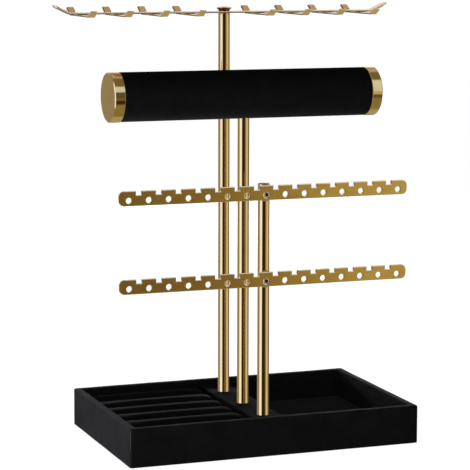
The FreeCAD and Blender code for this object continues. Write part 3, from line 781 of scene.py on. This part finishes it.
def roller_sleeve():
    """Velvet stretched round the core: a grid along X and round it, with rings round the post's way in."""
    hole = POST_RADIUS + POST_CLEARANCE
    window = 12.0 * MM
    half = SLEEVE_HIGH[0]
    turn_window = math.asin(window / SLEEVE_RADIUS)
    fine = np.linspace(-1, 1, 17)
    lengths = np.concatenate([np.linspace(-half, -window, 60)[:-1], window * fine,
                              np.linspace(window, half, 60)[1:]])
    turns = np.concatenate([np.arcsin(window * fine / SLEEVE_RADIUS),
                            np.linspace(turn_window, 2 * np.pi - turn_window, 120)[1:-1]])

    def wrap(along, turn):
        """A point of the cylinder, turn measured from straight below; drawn in a little beside each cap."""
        edge = np.clip((half - np.abs(along)) / SLEEVE_TUCK_RUN, 0, 1)
        radius = SLEEVE_RADIUS - SLEEVE_TUCK * (1 - edge) ** 2
        return np.stack([along, radius * np.sin(turn), ROLLER_Z - radius * np.cos(turn)], axis=-1)

    along, turn = np.meshgrid(lengths, turns, indexing="ij")
    quads = grid_quads(len(lengths), len(turns), wrap=True)
    middle = wrap(along, turn).reshape(-1, 3)[quads].mean(axis=1)
    inside = (np.abs(middle[:, 0]) < window) & (np.abs(middle[:, 1]) < window) & (middle[:, 2] < ROLLER_Z)
    steps = window * fine[:-1]
    edge = np.full(len(steps), window)
    loop = np.vstack([np.stack(pair, axis=-1) for pair in
                      ((steps, -edge), (edge, steps), (-steps, edge), (-edge, -steps))])
    rings = ring_round(loop, hole, 5)
    patch = wrap(rings[..., 0], np.arcsin(rings[..., 1] / SLEEVE_RADIUS))
    shape = joined([(wrap(along, turn).reshape(-1, 3), quads[~inside]),
                    (patch.reshape(-1, 3), grid_quads(*rings.shape[:2], wrap=True))])
    piece = put("roller_velvet_sleeve", shape, ROLLER_VELVET, "roller", "black_velvet", ["roller_velvet"])
    return lined(piece, SLEEVE - GLUE_GAP)


roller_cap("roller_cap_left", -1)
roller_cap("roller_cap_right", 1)
roller_sleeve()

# Tray


def tray_velvet():
    """Velvet wrap of the walls: a wall profile carried round a rectangle with small round corners."""
    half_x, half_y = TRAY_HIGH[0], TRAY_HIGH[1]
    low, high = TRAY_LOW[2], TRAY_HIGH[2]
    under = low - TURN_UNDER_DROP
    turn_under = arc((RIM_ROUND / 2, under + RIM_ROUND / 2), RIM_ROUND / 2, 270, 180, 4)
    climb = np.linspace(under + RIM_ROUND, high - 2 * RIM_ROUND, 14)
    outer = arc((RIM_ROUND, high - RIM_ROUND), RIM_ROUND, 180, 90, 6)
    inner = arc((TRAY_WALL - RIM_ROUND, high - RIM_ROUND), RIM_ROUND, 90, 0, 6)
    fall = np.linspace(high - 2 * RIM_ROUND, BOARD_TOP, 10)
    outside = np.stack([0 * climb, climb], axis=-1)
    inside = np.stack([0 * fall + TRAY_WALL, fall], axis=-1)
    profile = np.vstack([[(TURN_UNDER, under)], turn_under, outside, outer, inner, inside])
    step = np.gradient(profile, axis=0)
    outward = np.stack([step[:, 1], -step[:, 0]], axis=-1) / np.linalg.norm(step, axis=1)[:, None] * (-1, -1)

    bends = 6
    sides = 64
    corner = np.array([(1, 1), (-1, 1), (-1, -1), (1, -1)], float)
    normal = []
    place = []
    for k in range(4):
        turn = np.radians(90 * k + np.linspace(0, 90, bends + 1))
        normal.append(np.stack([np.cos(turn), np.sin(turn)], axis=-1))
        place.append(np.repeat(corner[k:k + 1], bends + 1, axis=0))
        share = np.linspace(0, 1, sides + 1)[1:-1, None]
        place.append(corner[k] * (1 - share) + corner[(k + 1) % 4] * share)
        normal.append(np.repeat(normal[-1][-1:], sides - 1, axis=0))
    normal, place = np.vstack(normal), np.vstack(place)

    def carried(inset, up):
        """Points of the wrap at an inset from the outside face and a height, for each place round it."""
        reach = np.stack([half_x - inset - TRAY_CORNER, half_y - inset - TRAY_CORNER], axis=-1)
        plan = reach * place[None] + TRAY_CORNER * normal[None]
        return np.concatenate([plan, np.broadcast_to(up, inset.shape)[..., None]], axis=-1)

    inset = np.repeat(profile[:, :1], len(place), axis=1)
    up = np.repeat(profile[:, 1:], len(place), axis=1)
    lift = PILE_UNEVEN * ripple(carried(inset, up), wavelength=45 * MM, seed=3) - PILE_UNEVEN
    lift[:1] = 0
    points = carried(inset + outward[:, :1] * lift, up + outward[:, 1:] * lift)
    quads = grid_quads(len(profile), len(place), wrap=True)
    shape = weld(points, quads)
    return lined(put("tray_velvet_wrap", shape, TRAY_VELVET, "base", "black_velvet", ["tray_velvet"]))


def platform_velvet():
    """Velvet over the platform: its cross-section carried along Y, dimpled round each post."""
    half = PLATFORM_HIGH[0]
    top = PLATFORM_HIGH[2]
    left = arc((-half + RIM_ROUND, top - RIM_ROUND), RIM_ROUND, 180, 90, 6)
    right = arc((half - RIM_ROUND, top - RIM_ROUND), RIM_ROUND, 90, 0, 6)
    flat = np.linspace(-half + RIM_ROUND, half - RIM_ROUND, 36)[1:-1]
    profile = np.vstack([[(-half, BOARD_TOP)], left, np.stack([flat, 0 * flat + top], axis=-1), right,
                         [(half, BOARD_TOP)]])
    reach = np.linspace(PLATFORM_LOW[1] - PLATFORM_TUCK, PLATFORM_HIGH[1] + PLATFORM_TUCK, 220)
    across = np.repeat(profile[:, :1], len(reach), axis=1)
    along = np.repeat(reach[None], len(profile), axis=0)
    up = np.repeat(profile[:, 1:], len(reach), axis=1)
    for y in (REAR_Y, 0.0, FRONT_Y):
        gap = np.hypot(across, along - y) - POST_RADIUS
        up = up - DIMPLE_DEPTH * np.exp(-np.maximum(gap, 0) / DIMPLE_RUN) * (up > top - RIM_ROUND)
    points = np.stack([across, along, up], axis=-1)
    points[..., 2] += PILE_UNEVEN * (ripple(points, wavelength=30 * MM, seed=5) - 1)
    quads = grid_quads(len(profile), len(reach))[:, ::-1]
    shape = weld(points, quads)
    # The platform's cloth takes the darker velvet copy: painted shade
    return lined(put("platform_velvet_wrap", shape, SHADED_PLATFORM_VELVET, "base", "black_velvet",
                     ["platform_velvet"]))


def compartment_liner():
    """Covered card: a grid that rolls over at its edges and runs down to the board."""
    roll = 1.0 * MM
    quarter = roll * (1 - np.sin(np.radians(np.linspace(0, 90, 6))))

    def lines(low, high, count):
        inner = np.linspace(low + roll, high - roll, count)[1:-1]
        place = np.concatenate([[low], low + quarter[::-1], inner, high - quarter, [high]])
        edge = np.minimum(place - low, high - place)
        drop = roll - np.sqrt(np.maximum(roll ** 2 - np.maximum(roll - edge, 0) ** 2, 0))
        drop[[0, -1]] = LINER_HIGH[2] - LINER_LOW[2]
        return place, drop

    x, drop_x = lines(LINER_LOW[0], LINER_HIGH[0], 60)
    y, drop_y = lines(LINER_LOW[1], LINER_HIGH[1], 80)
    across, along = np.meshgrid(x, y, indexing="ij")
    up = np.maximum(LINER_HIGH[2] - np.hypot(drop_x[:, None], drop_y[None]), LINER_LOW[2])
    points = np.stack([across, along, up], axis=-1)
    inner = points[1:-1, 1:-1]
    inner[..., 2] += PILE_UNEVEN * (ripple(inner, wavelength=40 * MM, seed=7) - 1)
    quads = grid_quads(len(x), len(y))[:, ::-1]
    shape = weld(points, quads)
    return lined(put("compartment_liner_cloth", shape, BLACK_VELVET, "base", "black_velvet",
                     ["compartment_liner"]))


tray_velvet()
platform_velvet()
compartment_liner()

# Ring pad


def roll_form(low, high, shrink):
    """Closed roll: a squared oval, flat below, carried along X, its ends closing on a rounded end."""
    turn = np.linspace(0, 2 * np.pi, 72, endpoint=False)
    power = 2 / 3.4
    oval = np.stack([np.sign(np.cos(turn)) * np.abs(np.cos(turn)) ** power,
                     np.sign(np.sin(turn)) * np.abs(np.sin(turn)) ** power], axis=-1)
    middle = (low + high) / 2
    half = (high - low) / 2 - shrink
    bend = np.radians(np.linspace(0, 90, 9))
    end_round = 5 * MM
    rings = 40
    run = half[0] - end_round * (1 - np.sin(bend))
    size = np.cos(bend) ** 0.5
    run = np.concatenate([-run[::-1], np.linspace(-run[0], run[0], rings)[1:-1], run])
    size = np.concatenate([size[::-1], np.ones(rings - 2), size])
    points = np.stack([np.repeat(middle[0] + run[:, None], len(turn), axis=1),
                       middle[1] + half[1] * size[:, None] * oval[None, :, 0],
                       middle[2] + half[2] * size[:, None] * oval[None, :, 1]], axis=-1)
    return weld(points, grid_quads(len(run), len(turn), wrap=True))


def stuffed(piece, cap):
    """Swells a closed piece by cloth simulation under pressure, with each point's move capped."""
    mesh = piece.data
    steps = 20
    remesh = piece.modifiers.new("remesh", "REMESH")
    remesh.mode = "VOXEL"
    remesh.voxel_size = 4 * MM
    remesh.use_smooth_shade = True
    depsgraph = bpy.context.evaluated_depsgraph_get()
    even = bpy.data.meshes.new_from_object(piece.evaluated_get(depsgraph))
    piece.modifiers.clear()
    even.materials.clear()
    even.materials.append(mesh.materials[0])
    piece.data = even
    bpy.data.meshes.remove(mesh)
    start = np.empty(len(even.vertices) * 3)
    even.vertices.foreach_get("co", start)
    cloth = piece.modifiers.new("cloth", "CLOTH")
    cloth.settings.use_pressure = True
    cloth.settings.uniform_pressure_force = 4
    cloth.settings.effector_weights.gravity = 0
    cloth.point_cache.frame_end = steps
    for step in range(1, steps + 1):
        SCENE.frame_set(step)
    swollen = piece.evaluated_get(bpy.context.evaluated_depsgraph_get()).to_mesh()
    moved = np.empty(len(start))
    swollen.vertices.foreach_get("co", moved)
    piece.modifiers.clear()
    SCENE.frame_set(1)
    shift = (moved - start).reshape(-1, 3)
    size = np.linalg.norm(shift, axis=1)[:, None]
    shift *= np.minimum(1, cap / np.maximum(size, 1e-9))
    even.vertices.foreach_set("co", (start.reshape(-1, 3) + shift).ravel())
    even.polygons.foreach_set("use_smooth", np.ones(len(even.polygons), bool))
    even.update()
    return piece


def ring_rolls():
    """Six foam rolls side by side, each stuffed and smoothed by one subdivision."""
    for k in range(1, ROLL_COUNT + 1):
        low, high = span(f"ring_roll_{k}")
        shape = roll_form(low, high, ROLL_SWELL)
        roll = put(f"ring_roll_{k}_foam", shape, RING_VELVET, "base", "ring_pad_velvet", [f"ring_roll_{k}"])
        stuffed(roll, ROLL_SWELL)
        smooth = roll.modifiers.new("smooth", "SUBSURF")
        smooth.levels = smooth.render_levels = 1


ring_rolls()

# Finishes of the solids that show as they are
KEPT = {
    "front_wall_board": BOARD, "right_wall_board": BOARD, "back_wall_board": BOARD, "left_wall_board": BOARD,
    "bottom_board": BOARD, "platform_block": BOARD, "ring_pad_board": BOARD, "roller_hub": BOARD,
    "felt_underside": FELT, "roller_core": PAPER,
    "post_foot_plugs": STEEL, "rear_post_plug": STEEL, "middle_post_plug": STEEL, "middle_post_stud": STEEL,
    "base_screws": STEEL, "front_post_slugs": STEEL, "roller_nut": STEEL,
}
for node, finish in KEPT.items():
    NODES[node].data.materials.clear()
    NODES[node].data.materials.append(finish)
    NODES[node].visible_glossy = False

# Studio


def floor():
    """Wide pale floor that only the camera sees, so that the metal mirrors the studio and not the floor."""
    reach = np.linspace(-FLOOR_HALF, FLOOR_HALF, 13)
    across, along = np.meshgrid(reach, reach, indexing="ij")
    points = np.stack([across, along, 0 * across], axis=-1)
    mesh = bpy.data.meshes.new("floor")
    mesh.from_pydata(points.reshape(-1, 3).tolist(), [], grid_quads(len(reach), len(reach))[:, ::-1].tolist())
    piece = bpy.data.objects.new("floor", mesh)
    SCENE.collection.objects.link(piece)
    finish = Finish("floor")
    finish.set(Base_Color=(0.12, 0.12, 0.12, 1), Roughness=0.9, Specular_IOR_Level=0.0,
               Emission_Color=(1, 1, 1, 1), Emission_Strength=1.0)
    mesh.materials.append(finish.material)
    piece.visible_glossy = False
    piece.visible_diffuse = False
    piece.visible_shadow = False


DARK = (0.045, 0.024, 0.003)
DUSK = (0.1, 0.07, 0.03)
DIM = (0.37, 0.33, 0.22)
SHADE = (0.12, 0.11, 0.09)
WINDOW = (1.3, 1.6, 2.4)
SOFT_BOX = (0.9, 1.08, 1.4)
STRIP = (0.76, 0.71, 0.48)
GOLD = (0.92, 0.93, 0.82)
BACKDROP = (1.0, 1.0, 1.0)
BACK_WALL = (0.6, 0.55, 0.5)
FRONT_GROUND = (0.32, 0.3, 0.16)
BACK_GROUND = (0.52, 0.52, 0.35)
NADIR = (0.2, 0.16, 0.07)
FRONT_CEILING = (0.22, 0.2, 0.11)
SKYLIGHT = (0.56, 0.54, 0.66)
BACK_CEILING = (0.3, 0.27, 0.2)
# Light by compass direction in degrees, 0 in front of the object and 90 at its right
LEFT_SIDE = [(-106, DIM), (-90, WINDOW), (-55, WINDOW), (-44, DUSK), (-34, DARK)]
RIGHT_SIDE = [(45, GOLD), (62, GOLD), (76, (0.7, 0.68, 0.5)), (92, (0.3, 0.28, 0.2)), (103, SHADE)]
# The same, level by level from the ground up
GROUND_BANDS = [(-180, BACK_GROUND), (-130, BACK_GROUND), (-110, FRONT_GROUND), (85, FRONT_GROUND),
                (120, BACK_GROUND), (180, BACK_GROUND)]
BELOW_BANDS = [(-180, DIM), *LEFT_SIDE, (20, DARK), (33, (0.3, 0.28, 0.18)), *RIGHT_SIDE, (140, SHADE),
               (180, SHADE)]
LOW_BANDS = [(-180, DIM), *LEFT_SIDE, (8, DARK), (16, (0.26, 0.2, 0.12)), (20, (0.17, 0.13, 0.07)),
             (22.5, (0.42, 0.37, 0.22)), (24, STRIP), (27, STRIP), (29.5, (0.3, 0.27, 0.18)),
             (34, (0.4, 0.36, 0.25)), *RIGHT_SIDE, (150, SHADE), (180, DIM)]
MIDDLE_BANDS = [(-180, BACKDROP), (-150, BACKDROP), (-135, DIM), *LEFT_SIDE, (6, DARK),
                (14, (0.1, 0.09, 0.06)), (20, (0.13, 0.12, 0.09)), (24, SOFT_BOX), (88, SOFT_BOX),
                (100, SHADE), (125, SHADE), (140, BACKDROP), (180, BACKDROP)]
HIGH_BANDS = [(-180, BACK_WALL), (-130, DIM), *LEFT_SIDE, (6, DARK), (16, SOFT_BOX), (88, SOFT_BOX),
              (100, DIM), (135, BACK_WALL), (180, BACK_WALL)]
CEILING_BANDS = [(-180, BACK_CEILING), (-135, FRONT_CEILING), (110, FRONT_CEILING), (130, SKYLIGHT),
                 (155, SKYLIGHT), (170, BACK_CEILING), (180, BACK_CEILING)]
# Each level's start and full height, as the upward share of a direction of length 1
LEVELS = [(-0.975, -0.945, GROUND_BANDS), (-0.55, -0.4, BELOW_BANDS), (-0.24, -0.18, LOW_BANDS),
          (-0.01, 0.03, MIDDLE_BANDS), (0.38, 0.48, HIGH_BANDS), (0.72, 0.8, CEILING_BANDS)]


def studio():
    """What the metal mirrors: bands of light by compass direction, level above level over an even ground."""
    world = bpy.data.worlds.new("studio")
    SCENE.world = world
    world.use_nodes = True
    world.cycles_visibility.diffuse = False
    tree = world.node_tree
    nodes, links = tree.nodes, tree.links
    nodes.clear()
    place = nodes.new("ShaderNodeTexCoord")
    parts = nodes.new("ShaderNodeSeparateXYZ")
    links.new(place.outputs["Generated"], parts.inputs[0])
    front = nodes.new("ShaderNodeMath")
    front.operation = "MULTIPLY"
    front.inputs[1].default_value = -1
    links.new(parts.outputs["Y"], front.inputs[0])
    compass = nodes.new("ShaderNodeMath")
    compass.operation = "ARCTAN2"
    links.new(parts.outputs["X"], compass.inputs[0])
    links.new(front.outputs[0], compass.inputs[1])
    share = nodes.new("ShaderNodeMapRange")
    share.inputs["From Min"].default_value = -math.pi
    share.inputs["From Max"].default_value = math.pi
    links.new(compass.outputs[0], share.inputs["Value"])

    def bands(stops):
        """Colour by compass direction."""
        ramp = nodes.new("ShaderNodeValToRGB")
        elements = ramp.color_ramp.elements
        while len(elements) < len(stops):
            elements.new(0.5)
        for element, (degrees, colour) in zip(elements, stops):
            element.position = degrees / 360 + 0.5
            element.color = (*colour, 1)
        links.new(share.outputs["Result"], ramp.inputs["Fac"])
        return ramp.outputs["Color"]

    def above(start, end, under, over):
        """One colour below a height of the direction and another above it, mixed between the two heights."""
        height = nodes.new("ShaderNodeMapRange")
        height.interpolation_type = "SMOOTHSTEP"
        height.inputs["From Min"].default_value = start
        height.inputs["From Max"].default_value = end
        links.new(parts.outputs["Z"], height.inputs["Value"])
        mix = nodes.new("ShaderNodeMix")
        mix.data_type = "RGBA"
        links.new(height.outputs["Result"], mix.inputs["Factor"])
        for key, colour in (("A", under), ("B", over)):
            if isinstance(colour, tuple):
                mix.inputs[key].default_value = (*colour, 1)
            else:
                links.new(colour, mix.inputs[key])
        return mix.outputs["Result"]

    colour = NADIR
    for start, end, stops in LEVELS:
        colour = above(start, end, colour, bands(stops))
    light = nodes.new("ShaderNodeBackground")
    links.new(colour, light.inputs["Color"])
    white = nodes.new("ShaderNodeBackground")
    white.inputs["Color"].default_value = (1, 1, 1, 1)
    white.inputs["Strength"].default_value = 1.05
    path = nodes.new("ShaderNodeLightPath")
    choose = nodes.new("ShaderNodeMixShader")
    links.new(path.outputs["Is Camera Ray"], choose.inputs["Fac"])
    links.new(light.outputs[0], choose.inputs[1])
    links.new(white.outputs[0], choose.inputs[2])
    out = nodes.new("ShaderNodeOutputWorld")
    links.new(choose.outputs[0], out.inputs["Surface"])
    SCENE.view_settings.view_transform = "Standard"


def lamp(name, place, target, size, power):
    """Soft lamp for the cloth, which the metal doesn't mirror."""
    data = bpy.data.lights.new(name, "AREA")
    data.shape = "RECTANGLE"
    data.size, data.size_y = size
    data.energy = power
    lit = bpy.data.objects.new(name, data)
    SCENE.collection.objects.link(lit)
    lit.location = place
    lit.rotation_euler = (Vector(target) - Vector(place)).to_track_quat("-Z", "Y").to_euler()
    lit.visible_glossy = False
    lit.visible_camera = False


def lamps():
    """Light from low at the left, low behind, and a wide weak one in front and above."""
    lamp("left_lamp", (-1.5, -0.2, -0.12), (0, -0.05, 0.02), (1.2, 0.5), 28)
    lamp("back_lamp", (0.5, 1.9, 0.42), (0, 0, 0.04), (2.0, 0.15), 62)
    lamp("front_lamp", (-0.4, -2.2, 1.0), (0, 0, 0.15), (2.5, 0.8), 12)


def camera():
    """Camera at the photograph's place: it looks along a compass direction and slightly down."""
    place = (-743.57 * MM, -1978.36 * MM, 514.75 * MM)
    azimuth, elevation, roll = (math.radians(a) for a in (-20.371, 8.19, 0.121))
    focal_pixels, image_pixels = 2065.46, 470
    back = np.array((math.sin(azimuth) * math.cos(elevation), -math.cos(azimuth) * math.cos(elevation),
                     math.sin(elevation)))
    right = np.array((math.cos(azimuth), math.sin(azimuth), 0.0))
    up = np.cross(back, right)
    right, up = (right * math.cos(roll) + up * math.sin(roll), up * math.cos(roll) - right * math.sin(roll))
    data = bpy.data.cameras.new("camera")
    data.sensor_width = 36.0
    data.lens = focal_pixels / image_pixels * data.sensor_width
    data.clip_end = 30.0
    eye = bpy.data.objects.new("camera", data)
    SCENE.collection.objects.link(eye)
    turn = Matrix([Vector(right), Vector(up), Vector(back)]).transposed().to_4x4()
    eye.matrix_world = Matrix.Translation(Vector(place)) @ turn
    SCENE.camera = eye


floor()
studio()
lamps()
camera()
